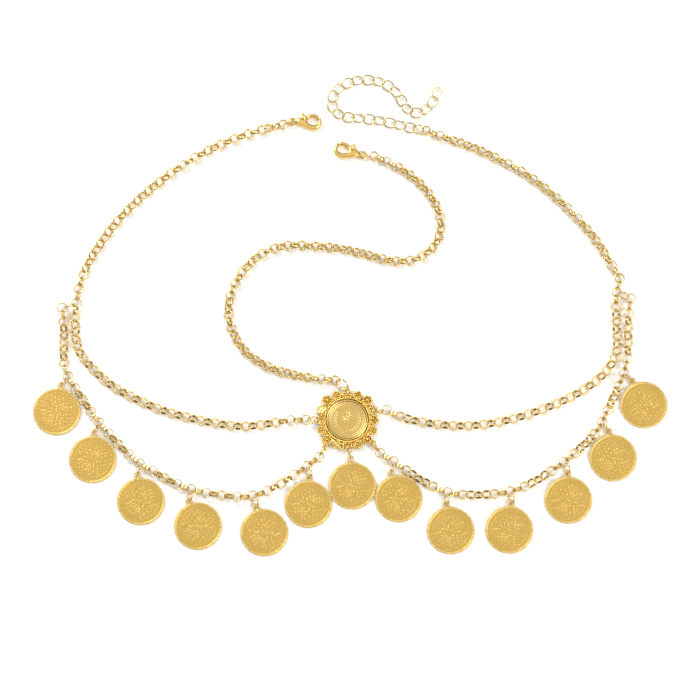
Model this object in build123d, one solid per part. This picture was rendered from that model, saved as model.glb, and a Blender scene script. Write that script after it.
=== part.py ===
from build123d import *
import math
import os

# Gold-tone chain headpiece with thirteen coins, lying flat. Millimetres, +Z up, face of the coins up.
# The origin is the middle of the medallion's back; +Y runs from the coins up to the clasps.

# Chain of round belcher links
LINK_R = 2.1
LINK_WALL = 0.37
LINK_WIDTH = 1.2
LINK_EDGE = 0.15
CHAIN_Z = 2.2
TUBE_R = 2.1
EXTENDER_R = 1.85
EXTENDER_Z = 1.9
ARC_SHARE = 0.45
CHAIN_ROLL = 45
HELD_LINKS = 1
ROLL_LINKS = 3
COIN_CHAIN_STEPS = [10, 8, 8, 8, 8, 8, 2]
INNER_STEPS_LEFT, INNER_STEPS_RIGHT = 41, 43

# Coins with an ear at the top, raised where the jump ring passes under them
COIN_R = 9.4
COIN_THICK = 0.7
RELIEF = 0.15
EAR_REACH = 10.8
EAR_R = 1.35
HOLE_R = 0.85
EAR_LIFT = 1.05

# Ornament of a coin's face: counts, and sizes as shares of the coin's radius
RIM_INNER = 0.925
PELLETS, PELLET_REACH, PELLET_R = 28, 0.82, 0.032
PETALS, PETAL_REACH, PETAL_RX, PETAL_RY = 8, 0.43, 0.25, 0.09
BOSS_R = 0.13

# Jump rings: radius of the wire's centreline, radius of the wire
COIN_WIRE_R = 0.3
UPRIGHT_R = 1.85
UPRIGHT_OFFSET = 2.85
UPRIGHT_Z = 2.2
UPRIGHT_REACH = 4.42
LEANING_R = 2.0
LEANING_OFFSET = 2.74
LEANING_SIDE = 0.23
LEANING_Z = 2.08
LEANING_REACH = 4.45
LEANING_TURN = 60

# Medallion
BEZEL_R = 8.3
BEZEL_WALL = 0.65
BEZEL_HEIGHT = 2.4
BEZEL_FLOOR = 0.7
SEAT_GAP = 0.15
CENTRE_COIN_R = 7.5
CENTRE_COIN_THICK = 0.9
LACE_Z = 1.35
LACE_THICK = 0.8
LACE_INNER_R = 8.1
LACE_OUTER_R = 9.6
ROPE_R = 8.95
ROPE_WIRE_R = 0.5
LOBES = 8
LOBE_R = 2.0
LOBE_WIRE = 0.55
LOBE_REACH_AXIS = 12.4
LOBE_REACH_DIAGONAL = 13.3
SPANDREL_R = 1.2
SPANDREL_HOLE_R = 0.62
SPANDREL_REACH = 10.5
BAR_WIDTH = 0.5
BALL_R = 0.45
BALL_SPREAD = 50
LEAF_REACH, LEAF_TURN, LEAF_RX, LEAF_RY, LEAF_RISE = 10.8, 65, 2.6, 1.1, 0.35
EYELET_R = 1.5
EYELET_HOLE_R = 0.92

# Lobster clasp, drawn with its eye at the origin and its nose towards +X
CLASP_THICK = 2.4
NOSE_X, NOSE_R = 8.4, 3.3
TAIL_X, TAIL_R = 3.4, 1.5
MOUTH_RX, MOUTH_RY = 2.5, 1.9
MOUTH_X, MOUTH_Y = 8.4, 0.3
EYE_R = 1.8
EYE_HOLE_R = 1.12
EYE_Z = 0.8
EYE_THICK = 0.9
PIVOT_X, PIVOT_Y = 4.4, 1.3
PIN_R = 0.45
CHEEK_R = 1.45
TONGUE_R = 1.2
TONGUE_THICK = 0.8
LEVER_REACH = 6.1
LEVER_LINE_Y = 1.0
LEVER_SWING = 20
LEVER_INSET = 0.1
NUB_X, NUB_Y, NUB_R, NUB_THICK = 4.3, 3.45, 0.5, 2.0
STEM_WIDTH = 0.7
CLEARANCE = 0.15
NECK_HALF, CHEEK_DROP = 1.2, 0.5
GAP_BACK, GAP_START, SWING_MARGIN = 0.2, 0.7, 2
SLOT_MARGIN, TONGUE_LAP = 0.4, 0.6
BODY_PLAY, LEVER_PLAY, PIN_INSET = 0.05, 0.08, 0.05

# Routes of the chains, from the clasp end down or from the side rings inwards
SIDE_LEFT = [(-26.0, 123.4), (-37.9, 120.4), (-48.9, 116.1), (-59.0, 111.0), (-68.2, 105.1),
             (-77.5, 97.8), (-85.4, 90.6), (-93.4, 81.8), (-98.9, 73.8), (-103.8, 65.5), (-107.0, 57.8),
             (-107.9, 53.9)]
SIDE_RIGHT = [(31.55, 120.85), (41.9, 117.0), (52.6, 113.1), (62.7, 108.0), (72.4, 102.5),
              (82.4, 94.4), (91.7, 85.1), (99.9, 75.0), (105.3, 65.8), (108.3, 60.5), (109.1, 57.9)]
CROWN = [(10.5, 109.6), (20.2, 105.9), (28.3, 99.9), (34.7, 92.2), (38.4, 82.8), (36.5, 73.0),
         (29.1, 66.4), (19.0, 65.2), (8.6, 68.2), (-2.4, 71.0), (-13.6, 72.0), (-24.8, 72.6),
         (-34.8, 69.0), (-42.6, 61.0), (-47.4, 51.2), (-47.6, 40.2), (-42.6, 29.4), (-34.0, 22.6),
         (-23.6, 18.7), (-13.6, 16.9), (-4.9, 16.1)]
EXTENDER = [(36.4, 137.3), (35.0, 133.4), (32.2, 130.0), (28.0, 128.2), (23.8, 130.4), (21.9, 134.4),
            (19.4, 138.2), (15.9, 141.0), (11.5, 142.5), (7.2, 142.9), (3.0, 142.4), (-1.2, 140.9),
            (-5.0, 137.9), (-6.6, 133.8), (-5.6, 129.6), (-2.2, 127.2), (2.2, 126.5), (6.7, 126.2),
            (10.9, 125.7), (15.4, 124.9), (20.2, 123.7), (26.2, 122.15)]
INNER_LEFT = [(-108.2, 51.2), (-108.5, 48.2), (-108.8, 44.5), (-108.8, 38.8), (-108.4, 33.0),
              (-106.6, 27.5), (-102.4, 22.1), (-95.5, 15.5), (-85.4, 9.3), (-74.6, 4.4), (-63.8, 1.1),
              (-52.2, -1.4), (-39.9, -2.6), (-28.0, -1.0), (-16.5, -0.1)]
INNER_RIGHT = [(108.9, 55.5), (108.1, 52.6), (107.8, 47.4), (107.8, 37.8), (107.6, 28.7), (104.5, 21.7),
               (98.5, 15.5), (89.2, 9.5), (78.8, 4.8), (66.8, 0.7), (54.8, -1.8), (42.8, -2.4),
               (30.5, -1.0), (22.2, 0.9), (15.6, 4.0)]
COIN_LEFT = [(-114.2, 46.1), (-113.4, 38.7), (-113.2, 27.0), (-112.4, 20.8), (-109.5, 14.6),
             (-105.8, 9.3), (-100.9, 1.9), (-95.2, -5.1), (-88.7, -12.0), (-82.2, -17.9), (-75.1, -22.0),
             (-67.1, -26.3), (-59.1, -29.1), (-50.0, -30.6), (-38.1, -31.1), (-29.8, -28.0),
             (-21.1, -22.6), (-15.6, -18.6), (-11.2, -15.3)]
COIN_RIGHT = [(113.6, 50.0), (112.7, 43.5), (112.3, 32.8), (111.7, 25.0), (109.2, 16.3), (106.3, 9.7),
              (103.0, 2.7), (99.3, -4.2), (93.6, -10.6), (86.4, -16.9), (78.8, -22.2), (70.4, -27.1),
              (62.1, -29.7), (49.4, -30.6), (40.7, -29.9), (32.0, -26.2), (24.5, -21.4), (18.0, -16.9),
              (13.1, -13.6)]


def plan(angle, length=1.0):
    return Vector(length * math.cos(math.radians(angle)), length * math.sin(math.radians(angle)), 0)


def leaning_plane(centre, heading, turn):
    """Plane of a ring whose level diameter has this heading; a turn of 0 is flat, 90 is on edge."""
    side = plan(heading + 90)
    axis = Vector(0, 0, math.cos(math.radians(turn))) - side * math.sin(math.radians(turn))
    return Plane(origin=centre, x_dir=plan(heading), z_dir=axis)


def jump_ring(centre, heading, turn, radius, wire):
    return leaning_plane(centre, heading, turn) * Torus(radius, wire)


def belcher_link():
    profile = Pos(LINK_R - LINK_WALL / 2, 0) * RectangleRounded(LINK_WALL, LINK_WIDTH, LINK_EDGE)
    return revolve(Plane.XZ * profile, Axis.Z)


LINK = belcher_link()


def chain_path(route):
    return Spline([Vector(x, y, CHAIN_Z) for x, y in route])


def place_on(path, distance):
    point = path.position_at(distance, position_mode=PositionMode.LENGTH)
    tangent = path.tangent_at(distance, position_mode=PositionMode.LENGTH)
    return point, math.degrees(math.atan2(tangent.Y, tangent.X))


def link_chain(route, stops, counts, first_turn=0):
    """Links evenly spaced from stop to stop along a route, each turned a quarter from the last.
    Away from the stops the chain rolls over, so that its links lean one way and the other."""
    path = chain_path(route)
    stops = [0.0] + stops + [path.length]
    distances = [0.0]
    for start, end, count in zip(stops, stops[1:], counts):
        distances += [start + (end - start) * (k + 1) / count for k in range(count)]
        print("pitch %.3f" % ((end - start) / count), end="; ")
    print("links", len(distances), "length %.1f" % path.length)
    held, index = [0], 0
    for count in counts:
        index += count
        held.append(index)
    links = []
    for k, distance in enumerate(distances):
        point, heading = place_on(path, distance)
        free = min(abs(k - stop) for stop in held) - HELD_LINKS
        roll = CHAIN_ROLL * min(max(free / ROLL_LINKS, 0), 1)
        links.append(leaning_plane(point, heading, first_turn + roll + 90 * (k % 2)) * LINK)
    return links


def tube(route, radius, height):
    """Plain tube along straight runs joined by tangent arcs."""
    points = [Vector(x, y, height) for x, y in route]
    radii = []
    for a, b, c in zip(points, points[1:], points[2:]):
        turn = (b - a).get_angle(c - b)
        shorter = min((b - a).length, (c - b).length)
        radii.append(ARC_SHARE * shorter / math.tan(math.radians(turn / 2)))
    path = FilletPolyline(*points, radius=radii)
    start = Plane(origin=path @ 0, z_dir=path % 0)
    body = sweep(start * Circle(radius), path=path)
    ideal = math.pi * radius ** 2 * path.length
    print("tube length %.1f, least radius %.1f, radii %s, volume ratio %.4f"
          % (path.length, min(radii), [round(r) for r in radii], body.volume / ideal))
    return body


def coin_relief(radius):
    """Generic ornament: raised rim, a ring of pellets and an eight-petalled rosette."""
    face = Circle(radius) - Circle(RIM_INNER * radius)
    pellet = Pos(PELLET_REACH * radius, 0) * Circle(PELLET_R * radius)
    for k in range(PELLETS):
        face += Rot(0, 0, 360 * k / PELLETS) * pellet
    petal = Pos(PETAL_REACH * radius, 0) * Ellipse(PETAL_RX * radius, PETAL_RY * radius)
    for k in range(PETALS):
        face += Rot(0, 0, 360 * (k + 0.5) / PETALS) * petal
    face += Circle(BOSS_R * radius)
    return face


def eared_coin():
    ear = Pos(0, EAR_REACH) * Circle(EAR_R)
    neck = Pos(0, EAR_REACH - EAR_R) * Rectangle(2 * EAR_R, 2 * EAR_R)
    outline = Circle(COIN_R) + ear + neck - Pos(0, EAR_REACH) * Circle(HOLE_R)
    relief = Pos(0, 0, COIN_THICK) * coin_relief(COIN_R)
    return extrude(outline, COIN_THICK) + extrude(relief, RELIEF)


COIN = eared_coin()


def hang_coin(attach, ring_heading, coin_heading, kind):
    """A jump ring through the chain link at attach, and the coin that hangs from it."""
    radius, offset, side, height, reach, turn = RING_KINDS[kind]
    centre = Vector(attach.X, attach.Y, height) + plan(ring_heading, offset) + plan(ring_heading + 90, side)
    ring = jump_ring(centre, ring_heading, turn, radius, COIN_WIRE_R)
    hole = Vector(attach.X, attach.Y, 0) + plan(ring_heading, reach)
    return ring, seat_coin(hole, coin_heading, EAR_LIFT)


def seat_coin(hole, coin_heading, lift):
    """Coin whose far edge rests on the ground and whose ear hole is lifted to the ring."""
    tilt = math.asin(lift / (COIN_R + EAR_REACH))
    middle = hole + plan(coin_heading, EAR_REACH * math.cos(tilt))
    height = COIN_R * math.sin(tilt)
    return (Pos(middle.X, middle.Y, height) * Rot(0, 0, coin_heading + 90)
            * Rot(math.degrees(tilt), 0, 0) * COIN)


RING_KINDS = {
    "upright": (UPRIGHT_R, UPRIGHT_OFFSET, 0, UPRIGHT_Z, UPRIGHT_REACH, 90),
    "leaning": (LEANING_R, LEANING_OFFSET, LEANING_SIDE, LEANING_Z, LEANING_REACH, LEANING_TURN),
}

# Coins on the two coin chains: distance of the link along the chain, heading of the jump ring,
# heading from the ear to the middle of the coin, and how the jump ring stands.
COIN_ROWS_LEFT = [
    ("coin_01", 28.7, -129, -98, "upright"),
    ("coin_02", 51.5, -117, -92, "upright"),
    ("coin_03", 74.9, -101, -82, "upright"),
    ("coin_04", 97.9, -100, -70, "leaning"),
    ("coin_05", 122.6, -72, -72, "leaning"),
    ("coin_06", 147.3, -77, -92, "leaning"),
]
COIN_ROWS_RIGHT = [
    ("coin_13", 31.0, -43, -65, "upright"),
    ("coin_12", 53.2, -53, -82, "upright"),
    ("coin_11", 75.8, -72, -89, "leaning"),
    ("coin_10", 100.6, -82, -95, "leaning"),
    ("coin_09", 125.5, -98, -80, "leaning"),
    ("coin_08", 150.4, -101, -74, "upright"),
]


def medallion_frame():
    ring_wire = Circle(LOBE_R) - Circle(LOBE_R - LOBE_WIRE)
    lace = Circle(LACE_OUTER_R) - Circle(LACE_INNER_R)
    for k in range(LOBES):
        angle = 360 * k / LOBES
        reach = LOBE_REACH_DIAGONAL if k % 2 else LOBE_REACH_AXIS
        lace += Rot(0, 0, angle) * Pos(reach - LOBE_R, 0) * ring_wire
        lace += Rot(0, 0, angle) * Pos(reach - LOBE_R, 0) * Rectangle(2 * LOBE_R - LOBE_WIRE, BAR_WIDTH)
        spandrel = Circle(SPANDREL_R) - Circle(SPANDREL_HOLE_R)
        lace += Rot(0, 0, angle + 180 / LOBES) * Pos(SPANDREL_REACH, 0) * spandrel
    for x, y in EYELETS.values():
        lace += Pos(x, y) * Circle(EYELET_R)
    for x, y in EYELETS.values():
        lace -= Pos(x, y) * Circle(EYELET_HOLE_R)
    frame = extrude(Pos(0, 0, LACE_Z) * lace, LACE_THICK)
    cup = extrude(Circle(BEZEL_R), BEZEL_HEIGHT)
    cup -= Pos(0, 0, BEZEL_FLOOR) * extrude(Circle(BEZEL_R - BEZEL_WALL), BEZEL_HEIGHT)
    frame += cup
    frame += Pos(0, 0, LACE_Z + LACE_THICK) * Torus(ROPE_R, ROPE_WIRE_R)
    for k in range(LOBES):
        reach = LOBE_REACH_DIAGONAL if k % 2 else LOBE_REACH_AXIS
        for spread in (-BALL_SPREAD, 0, BALL_SPREAD):
            lobe = plan(360 * k / LOBES, reach - LOBE_R)
            ball = lobe + plan(360 * k / LOBES + spread, LOBE_R - LOBE_WIRE / 2)
            near = min((Vector(x, y, 0) - ball).length for x, y in EYELETS.values())
            if near > EYELET_R + BALL_R:
                frame += Pos(ball.X, ball.Y, LACE_Z + LACE_THICK) * Sphere(BALL_R)
    for angle in LEAVES:
        leaf = Rot(0, 0, angle) * Pos(LEAF_REACH, 0) * Rot(0, 0, LEAF_TURN) * Ellipse(LEAF_RX, LEAF_RY)
        frame += extrude(Pos(0, 0, LACE_Z) * leaf, LACE_THICK + LEAF_RISE)
    return frame


# Eyelets of the lace that the jump rings pass through, and the smooth leaves on its left
EYELETS = {
    "top": (-0.5, 12.3),
    "left": (-11.9, -0.1),
    "right": (11.2, 3.2),
    "lower_left": (-8.7, -10.9),
    "lower_right": (10.05, -9.55),
    "bottom": (0.9, -11.8),
}
LEAVES = [158, 247]


def medallion_coin():
    relief = Pos(0, 0, CENTRE_COIN_THICK) * coin_relief(CENTRE_COIN_R)
    coin = extrude(Circle(CENTRE_COIN_R), CENTRE_COIN_THICK) + extrude(relief, RELIEF)
    return Pos(0, 0, BEZEL_FLOOR + SEAT_GAP) * coin


def clasp_outline():
    """A drop, narrow behind the pin and round at the nose, with the mouth through it."""
    ends = (Pos(NOSE_X, 0) * Circle(NOSE_R)).edges() + (Pos(TAIL_X, 0) * Circle(TAIL_R)).edges()
    return make_hull(ends) - Pos(MOUTH_X, MOUTH_Y) * Ellipse(MOUTH_RX, MOUTH_RY)


def clasp_body():
    edge_x = MOUTH_X - GAP_START * MOUTH_RX
    back_x = PIVOT_X - GAP_BACK
    cheek_y = PIVOT_Y - CHEEK_DROP
    low_y = cheek_y - (edge_x - back_x) * math.tan(math.radians(LEVER_SWING + SWING_MARGIN))
    line_y = LEVER_LINE_Y - CLEARANCE
    far_x, far_y = NOSE_X + NOSE_R, 2 * NOSE_R
    window = Polygon((back_x, cheek_y), (edge_x, low_y), (edge_x, line_y), (far_x, line_y),
                     (far_x, far_y), (back_x, far_y), align=None)
    pivot = Pos(PIVOT_X, PIVOT_Y)
    sweep_area = window & (pivot * Circle(LEVER_REACH + CLEARANCE))
    outline = clasp_outline() - (sweep_area - pivot * Circle(CHEEK_R))
    neck = Pos(EYE_R + NECK_HALF / 2, 0) * Rectangle(EYE_R + NECK_HALF, 2 * NECK_HALF)
    eye = Circle(EYE_R) + neck
    body = extrude(outline, CLASP_THICK)
    body += extrude(Pos(0, 0, EYE_Z) * eye, EYE_THICK)
    body -= extrude(Circle(EYE_HOLE_R), CLASP_THICK)
    slot = pivot * Circle(CHEEK_R) + (window & (pivot * Circle(CHEEK_R + SLOT_MARGIN)))
    slot_thick = TONGUE_THICK + 2 * CLEARANCE
    body -= extrude(Pos(0, 0, (CLASP_THICK - slot_thick) / 2) * slot, slot_thick)
    body -= pivot * extrude(Circle(PIN_R + BODY_PLAY), CLASP_THICK)
    return body


def clasp_lever():
    pivot = Pos(PIVOT_X, PIVOT_Y)
    span = 3 * NOSE_R
    side = Pos(PIVOT_X + span / 2, LEVER_LINE_Y + span / 2) * Rectangle(span, span)
    arm = clasp_outline() & side & (pivot * Circle(LEVER_REACH))
    tongue = pivot * Circle(TONGUE_R) + (arm & (pivot * Circle(CHEEK_R + TONGUE_LAP)))
    nub = Pos(NUB_X, NUB_Y) * Circle(NUB_R)
    stem = Pos(NUB_X, (PIVOT_Y + NUB_Y) / 2) * Rectangle(STEM_WIDTH, NUB_Y - PIVOT_Y)
    blade = arm - pivot * Circle(CHEEK_R + CLEARANCE)
    lever = extrude(Pos(0, 0, LEVER_INSET) * blade, CLASP_THICK - 2 * LEVER_INSET)
    lever += extrude(Pos(0, 0, (CLASP_THICK - TONGUE_THICK) / 2) * (tongue + stem), TONGUE_THICK)
    lever += extrude(Pos(0, 0, (CLASP_THICK - NUB_THICK) / 2) * nub, NUB_THICK)
    lever -= pivot * extrude(Circle(PIN_R + LEVER_PLAY), CLASP_THICK)
    return lever


def clasp_pin():
    return Pos(PIVOT_X, PIVOT_Y, PIN_INSET) * extrude(Circle(PIN_R), CLASP_THICK - 2 * PIN_INSET)


# Where each clasp lies: its eye, the heading of its nose, and whether it is turned over
CLASPS = {
    "clasp": ((-22.3, 124.9), -1, False),
    "crown_clasp": ((6.2, 110.7), 166, True),
}

# Rings apart from the coins': centre, height, heading, turn, centreline radius, wire radius
RINGS = {
    "clasp_ring": ((-23.6, 124.4), 2.15, 21, 90, 1.8, 0.3),
    "crown_clasp_ring": ((7.53, 110.04), 2.44, 171, 70, 2.2, 0.32),
    "extender_ring": ((28.9, 121.5), 1.95, -14, 50, 2.1, 0.3),
    "side_ring_left": ((-111.3, 47.15), 2.3, -160, 70, 2.1, 0.32),
    "side_ring_right": ((110.85, 51.3), 2.3, -25, 70, 2.1, 0.32),
    "medallion_ring_top": ((-1.92, 14.18), 2.72, -39, 60, 2.7, 0.33),
    "medallion_ring_left": ((-13.63, -0.1), 2.31, 0, 70, 2.05, 0.33),
    "medallion_ring_right": ((12.79, 3.51), 2.2, 190, 90, 1.85, 0.3),
    "medallion_ring_lower_left": ((-9.68, -12.66), 2.73, 60, 90, 2.35, 0.33),
    "medallion_ring_lower_right": ((11.26, -11.16), 2.73, 127, 90, 2.35, 0.33),
    "medallion_ring_bottom": ((1.11, -13.79), 2.78, -84, 90, 2.4, 0.33),
}
CENTRE_COIN_HOLE = (1.32, -15.82)
CENTRE_COIN_HEADING = -86.5
CENTRE_COIN_LIFT = 1.45


def write(name, shape):
    shape.label = name
    export_step(shape, "parts/%s.step" % name)


def write_chain(name, links):
    write(name, Compound(children=links))


os.makedirs("parts", exist_ok=True)

for name, (corner, nose, flipped) in CLASPS.items():
    pieces = {"_body": clasp_body(), "_lever": clasp_lever(), "_pin": clasp_pin()}
    for ending, piece in pieces.items():
        if flipped:
            piece = mirror(piece, about=Plane.XZ)
        write(name + ending, Pos(*corner) * Rot(0, 0, nose) * piece)

for name, (centre, height, heading, turn, radius, wire) in RINGS.items():
    write(name, jump_ring(Vector(*centre, height), heading, turn, radius, wire))

write("medallion_frame", medallion_frame())
write("medallion_coin", medallion_coin())

for rows, route in ((COIN_ROWS_LEFT, COIN_LEFT), (COIN_ROWS_RIGHT, COIN_RIGHT)):
    path = chain_path(route)
    for name, distance, ring_heading, coin_heading, kind in rows:
        attach, _ = place_on(path, distance)
        ring, coin = hang_coin(attach, ring_heading, coin_heading, kind)
        write(name, coin)
        write(name.replace("coin", "coin_ring"), ring)
write("coin_07", seat_coin(Vector(*CENTRE_COIN_HOLE, 0), CENTRE_COIN_HEADING, CENTRE_COIN_LIFT))

LEFT_STOPS = [row[1] for row in COIN_ROWS_LEFT]
RIGHT_STOPS = [row[1] for row in COIN_ROWS_RIGHT]
write_chain("coin_chain_left", link_chain(COIN_LEFT, LEFT_STOPS, COIN_CHAIN_STEPS))
write_chain("coin_chain_right", link_chain(COIN_RIGHT, RIGHT_STOPS, COIN_CHAIN_STEPS))
write_chain("inner_chain_left", link_chain(INNER_LEFT, [], [INNER_STEPS_LEFT], 90))
write_chain("inner_chain_right", link_chain(INNER_RIGHT, [], [INNER_STEPS_RIGHT], 90))

write("side_chain_left", tube(SIDE_LEFT, TUBE_R, CHAIN_Z))
write("side_chain_right", tube(SIDE_RIGHT, TUBE_R, CHAIN_Z))
write("crown_chain", tube(CROWN, TUBE_R, CHAIN_Z))
write("extender_chain", tube(EXTENDER, EXTENDER_R, EXTENDER_Z))
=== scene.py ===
import math

import bpy
import bmesh
import numpy as np
from mathutils import Matrix, Vector


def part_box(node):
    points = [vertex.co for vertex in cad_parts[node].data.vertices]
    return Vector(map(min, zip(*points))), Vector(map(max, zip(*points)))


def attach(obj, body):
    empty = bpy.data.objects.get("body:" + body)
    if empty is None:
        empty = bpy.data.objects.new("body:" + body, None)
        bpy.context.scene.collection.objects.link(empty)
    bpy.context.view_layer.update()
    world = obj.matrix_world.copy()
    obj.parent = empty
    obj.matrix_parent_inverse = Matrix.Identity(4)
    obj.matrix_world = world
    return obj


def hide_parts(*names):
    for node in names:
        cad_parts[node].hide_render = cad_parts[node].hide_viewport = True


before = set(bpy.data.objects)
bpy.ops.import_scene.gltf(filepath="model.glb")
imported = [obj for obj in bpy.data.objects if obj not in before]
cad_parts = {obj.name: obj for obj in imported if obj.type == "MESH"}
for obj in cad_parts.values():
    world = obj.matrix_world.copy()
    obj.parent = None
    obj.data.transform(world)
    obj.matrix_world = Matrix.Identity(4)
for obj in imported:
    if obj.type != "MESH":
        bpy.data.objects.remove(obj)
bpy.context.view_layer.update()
MM = 0.001

# The surface and the light.
# The headpiece lies on a plain white sheet and is seen from almost straight above,
# fifteen degrees off the vertical, under large soft lights and a pale ceiling.
VIEW_SPAN = 280 * MM
CAMERA_DISTANCE = 1500 * MM
CAMERA_ELEVATION = math.radians(75)
SENSOR = 36.0
AIM = Vector((1.1, 29.3, 0.0)) * MM
SHEET_SIZE = 3.0
SHEET_COLOUR = (0.95, 0.95, 0.955, 1)
SHEET_GLOW = 0.06


def new_object(name, mesh):
    piece = bpy.data.objects.new(name, mesh)
    bpy.context.scene.collection.objects.link(piece)
    return piece


def plain_material(name, colour, roughness):
    material = bpy.data.materials.new(name)
    material.use_nodes = True
    shader = material.node_tree.nodes["Principled BSDF"]
    shader.inputs["Base Color"].default_value = colour
    shader.inputs["Roughness"].default_value = roughness
    return material


def lay_sheet():
    half = SHEET_SIZE / 2
    mesh = bpy.data.meshes.new("sheet")
    corners = [(-half, -half, 0), (half, -half, 0), (half, half, 0), (-half, half, 0)]
    mesh.from_pydata(corners, [], [(0, 1, 2, 3)])
    material = plain_material("white_sheet", SHEET_COLOUR, 0.6)
    shader = material.node_tree.nodes["Principled BSDF"]
    shader.inputs["Emission Color"].default_value = SHEET_COLOUR
    shader.inputs["Emission Strength"].default_value = SHEET_GLOW
    mesh.materials.append(material)
    new_object("sheet", mesh)


def set_camera():
    lens = bpy.data.cameras.new("camera")
    lens.sensor_width = SENSOR
    lens.lens = SENSOR * CAMERA_DISTANCE / VIEW_SPAN
    camera = new_object("camera", lens)
    away = Vector((0, -math.cos(CAMERA_ELEVATION), math.sin(CAMERA_ELEVATION)))
    camera.location = AIM + away * CAMERA_DISTANCE
    camera.rotation_euler = away.to_track_quat("Z", "Y").to_euler()
    bpy.context.scene.camera = camera


def soft_light(name, place, size, power, colour):
    lamp = bpy.data.lights.new(name, "AREA")
    lamp.shape = "RECTANGLE"
    lamp.size, lamp.size_y = size
    lamp.energy = power
    lamp.color = colour
    light = new_object(name, lamp)
    light.location = place
    light.rotation_euler = (Vector(place) - AIM).to_track_quat("Z", "Y").to_euler()


def pale_ceiling():
    """Light from all round, brighter overhead and dimmer near the horizon."""
    world = bpy.data.worlds.new("pale_ceiling")
    bpy.context.scene.world = world
    world.use_nodes = True
    nodes, links = world.node_tree.nodes, world.node_tree.links
    place = nodes.new("ShaderNodeTexCoord")
    split = nodes.new("ShaderNodeSeparateXYZ")
    ramp = nodes.new("ShaderNodeValToRGB")
    ramp.color_ramp.elements[0].position = 0.2
    ramp.color_ramp.elements[0].color = (0.10, 0.09, 0.08, 1)
    ramp.color_ramp.elements[1].position = 0.9
    ramp.color_ramp.elements[1].color = (1.0, 0.99, 0.97, 1)
    links.new(place.outputs["Generated"], split.inputs[0])
    links.new(split.outputs["Z"], ramp.inputs["Fac"])
    links.new(ramp.outputs["Color"], nodes["Background"].inputs["Color"])
    nodes["Background"].inputs["Strength"].default_value = 0.95


lay_sheet()
set_camera()
pale_ceiling()
soft_light("window_light", (-0.75, 0.85, 1.0), (0.7, 0.5), 13.0, (1.0, 0.99, 0.97))
soft_light("fill_light", (0.95, -0.45, 1.1), (0.8, 0.6), 11.0, (1.0, 0.99, 0.97))
bpy.context.scene.view_settings.view_transform = "Standard"


# The jump rings, pins and the chains that carry the coins.
# Gold-tone plating over brass: round wire rings, and belcher links of flat band bent round
# and closed; barrel-polished, so smooth, with a faint drift of tone.
PLATING = (0.83, 0.64, 0.29, 1)
PLATING_SHADE = (0.62, 0.40, 0.12, 1)


def plating_group():
    """Tone that drifts over the plating and follows its grain, painted shade where the surface lies low,
    and small changes of gloss.
    """
    group = bpy.data.node_groups.new("plating_finish", "ShaderNodeTree")
    face = group.interface
    for name, kind in (("Colour", "NodeSocketColor"), ("Shade", "NodeSocketColor"),
                       ("Roughness", "NodeSocketFloat"), ("Grain Size", "NodeSocketFloat"),
                       ("Mottle", "NodeSocketFloat"), ("Low", "NodeSocketFloat")):
        face.new_socket(name=name, in_out="INPUT", socket_type=kind)
    for name, kind in (("Colour", "NodeSocketColor"), ("Roughness", "NodeSocketFloat"),
                       ("Grain", "NodeSocketFloat")):
        face.new_socket(name=name, in_out="OUTPUT", socket_type=kind)
    nodes, links = group.nodes, group.links

    def math_node(operation, *sources):
        node = nodes.new("ShaderNodeMath")
        node.operation = operation
        for socket, source in zip(node.inputs, sources):
            if isinstance(source, (int, float)):
                socket.default_value = source
            else:
                links.new(source, socket)
        return node.outputs[0]

    given = nodes.new("NodeGroupInput")
    result = nodes.new("NodeGroupOutput")
    place = nodes.new("ShaderNodeTexCoord")
    drift = nodes.new("ShaderNodeTexNoise")
    drift.inputs["Scale"].default_value = 90
    grain = nodes.new("ShaderNodeTexNoise")
    grain.inputs["Detail"].default_value = 3
    links.new(place.outputs["Object"], drift.inputs["Vector"])
    links.new(place.outputs["Object"], grain.inputs["Vector"])
    links.new(given.outputs["Grain Size"], grain.inputs["Scale"])
    pits = math_node("MULTIPLY", math_node("SUBTRACT", 0.58, grain.outputs["Fac"]), 3.5)
    mottle = math_node("MULTIPLY", math_node("MAXIMUM", pits, 0), given.outputs["Mottle"])
    cloud = math_node("MULTIPLY", math_node("SUBTRACT", drift.outputs["Fac"], 0.4), 0.5)
    shade = math_node("ADD", math_node("MAXIMUM", cloud, 0), mottle)
    # Points that lie low add painted shade on top of the drift and the grain.
    shade = math_node("MINIMUM", math_node("ADD", shade, given.outputs["Low"]), 1)
    blend = nodes.new("ShaderNodeMix")
    blend.data_type = "RGBA"
    links.new(shade, blend.inputs["Factor"])
    links.new(given.outputs["Colour"], blend.inputs["A"])
    links.new(given.outputs["Shade"], blend.inputs["B"])
    links.new(blend.outputs["Result"], result.inputs["Colour"])
    rub = math_node("MULTIPLY", math_node("SUBTRACT", grain.outputs["Fac"], 0.5), 0.2)
    links.new(math_node("ADD", rub, given.outputs["Roughness"]), result.inputs["Roughness"])
    links.new(grain.outputs["Fac"], result.inputs["Grain"])
    return group


PLATING_FINISH = plating_group()


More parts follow.
